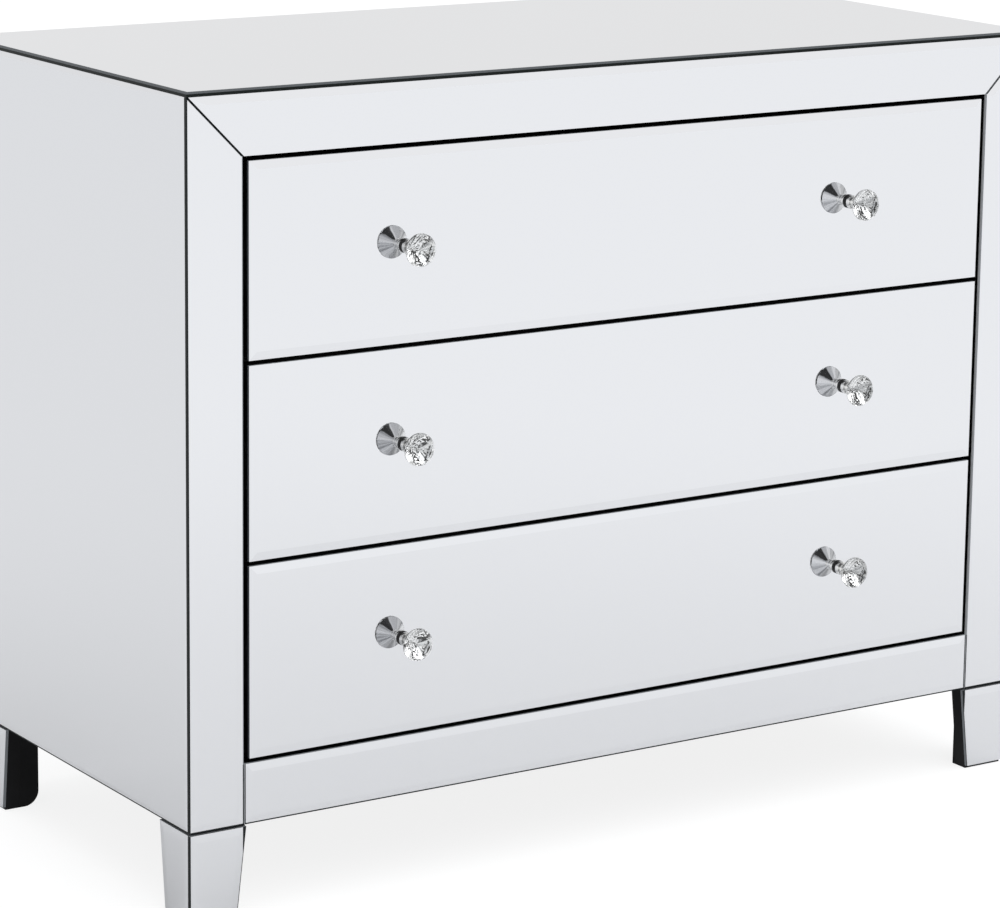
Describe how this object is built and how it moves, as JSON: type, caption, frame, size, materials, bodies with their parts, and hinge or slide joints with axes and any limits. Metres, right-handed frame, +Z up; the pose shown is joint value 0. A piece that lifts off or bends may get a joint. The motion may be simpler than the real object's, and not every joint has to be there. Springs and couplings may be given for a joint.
{
  "type": "chest of drawers",
  "caption": "Rectangular mirrored chest of drawers: bevelled mirror plates on a black carcass with short tapered legs, sliding drawers and crystal knobs.",
  "frame": {"origin": "on the floor, under the middle of the bounding box of the whole chest with its knobs", "axes": "+Z up, +X to the right of someone facing the drawers, drawers open towards -Y"},
  "size_m": [1, 0.5142, 0.795],
  "materials": {
    "mirror_glass": "silvered, bevelled and polished",
    "lacquered_board": "black satin lacquer on fibreboard",
    "drawer_board": "black matt foil on fibreboard",
    "runner_steel": "zinc plated",
    "knob_chrome": "polished",
    "crystal": "clear, cut and polished",
    "screw_steel": "zinc plated",
    "black_washer": "matt black"
  },
  "bodies": {
    "carcass": {"top_board": "lacquered_board", "bottom_board": "lacquered_board", "side_board_left": "lacquered_board", "side_board_right": "lacquered_board", "side_lining_left": "lacquered_board", "side_lining_right": "lacquered_board", "back_panel": "lacquered_board", "front_stile_left": "lacquered_board", "front_stile_right": "lacquered_board", "front_top_rail": "lacquered_board", "front_bottom_rail": "lacquered_board", "divider_rails": "lacquered_board", "leg_front_left": "lacquered_board", "leg_front_right": "lacquered_board", "leg_back_left": "lacquered_board", "leg_back_right": "lacquered_board", "top_mirror": "mirror_glass", "side_mirror_left": "mirror_glass", "side_mirror_right": "mirror_glass", "stile_mirror_left": "mirror_glass", "stile_mirror_right": "mirror_glass", "top_rail_mirror": "mirror_glass", "bottom_rail_mirror": "mirror_glass", "leg_mirrors_front_left": "mirror_glass", "leg_mirrors_front_right": "mirror_glass", "leg_mirrors_back": "mirror_glass", "cabinet_runners": "runner_steel"},
    "drawer_upper": {"drawer_front_upper": "lacquered_board", "drawer_mirror_upper": "mirror_glass", "drawer_sides_upper": "drawer_board", "drawer_back_upper": "drawer_board", "drawer_bottom_upper": "drawer_board", "drawer_runners_upper": "runner_steel", "knob_bases_upper": "knob_chrome", "knob_crystals_upper": "crystal", "knob_screws_upper": "screw_steel", "knob_washers_upper": "black_washer"},
    "runners_upper": {"middle_runners_upper": "runner_steel"},
    "drawer_middle": {"drawer_front_middle": "lacquered_board", "drawer_mirror_middle": "mirror_glass", "drawer_sides_middle": "drawer_board", "drawer_back_middle": "drawer_board", "drawer_bottom_middle": "drawer_board", "drawer_runners_middle": "runner_steel", "knob_bases_middle": "knob_chrome", "knob_crystals_middle": "crystal", "knob_screws_middle": "screw_steel", "knob_washers_middle": "black_washer"},
    "runners_middle": {"middle_runners_middle": "runner_steel"},
    "drawer_lower": {"drawer_front_lower": "lacquered_board", "drawer_mirror_lower": "mirror_glass", "drawer_sides_lower": "drawer_board", "drawer_back_lower": "drawer_board", "drawer_bottom_lower": "drawer_board", "drawer_runners_lower": "runner_steel", "knob_bases_lower": "knob_chrome", "knob_crystals_lower": "crystal", "knob_screws_lower": "screw_steel", "knob_washers_lower": "black_washer"},
    "runners_lower": {"middle_runners_lower": "runner_steel"}
  },
  "joints": [
    {"name": "drawer_upper_slide", "type": "slide", "parent": "carcass", "child": "drawer_upper", "axis": [0, -1, 0], "range_m": [0, 0.38]},
    {"name": "runners_upper_slide", "type": "slide", "parent": "carcass", "child": "runners_upper", "axis": [0, -1, 0], "range_m": [0, 0.19]},
    {"name": "drawer_middle_slide", "type": "slide", "parent": "carcass", "child": "drawer_middle", "axis": [0, -1, 0], "range_m": [0, 0.38]},
    {"name": "runners_middle_slide", "type": "slide", "parent": "carcass", "child": "runners_middle", "axis": [0, -1, 0], "range_m": [0, 0.19]},
    {"name": "drawer_lower_slide", "type": "slide", "parent": "carcass", "child": "drawer_lower", "axis": [0, -1, 0], "range_m": [0, 0.38]},
    {"name": "runners_lower_slide", "type": "slide", "parent": "carcass", "child": "runners_lower", "axis": [0, -1, 0], "range_m": [0, 0.19]}
  ],
  "couplings": [
    {"joint": "runners_upper_slide", "follows": "drawer_upper_slide", "ratio": 0.5},
    {"joint": "runners_middle_slide", "follows": "drawer_middle_slide", "ratio": 0.5},
    {"joint": "runners_lower_slide", "follows": "drawer_lower_slide", "ratio": 0.5}
  ]
}
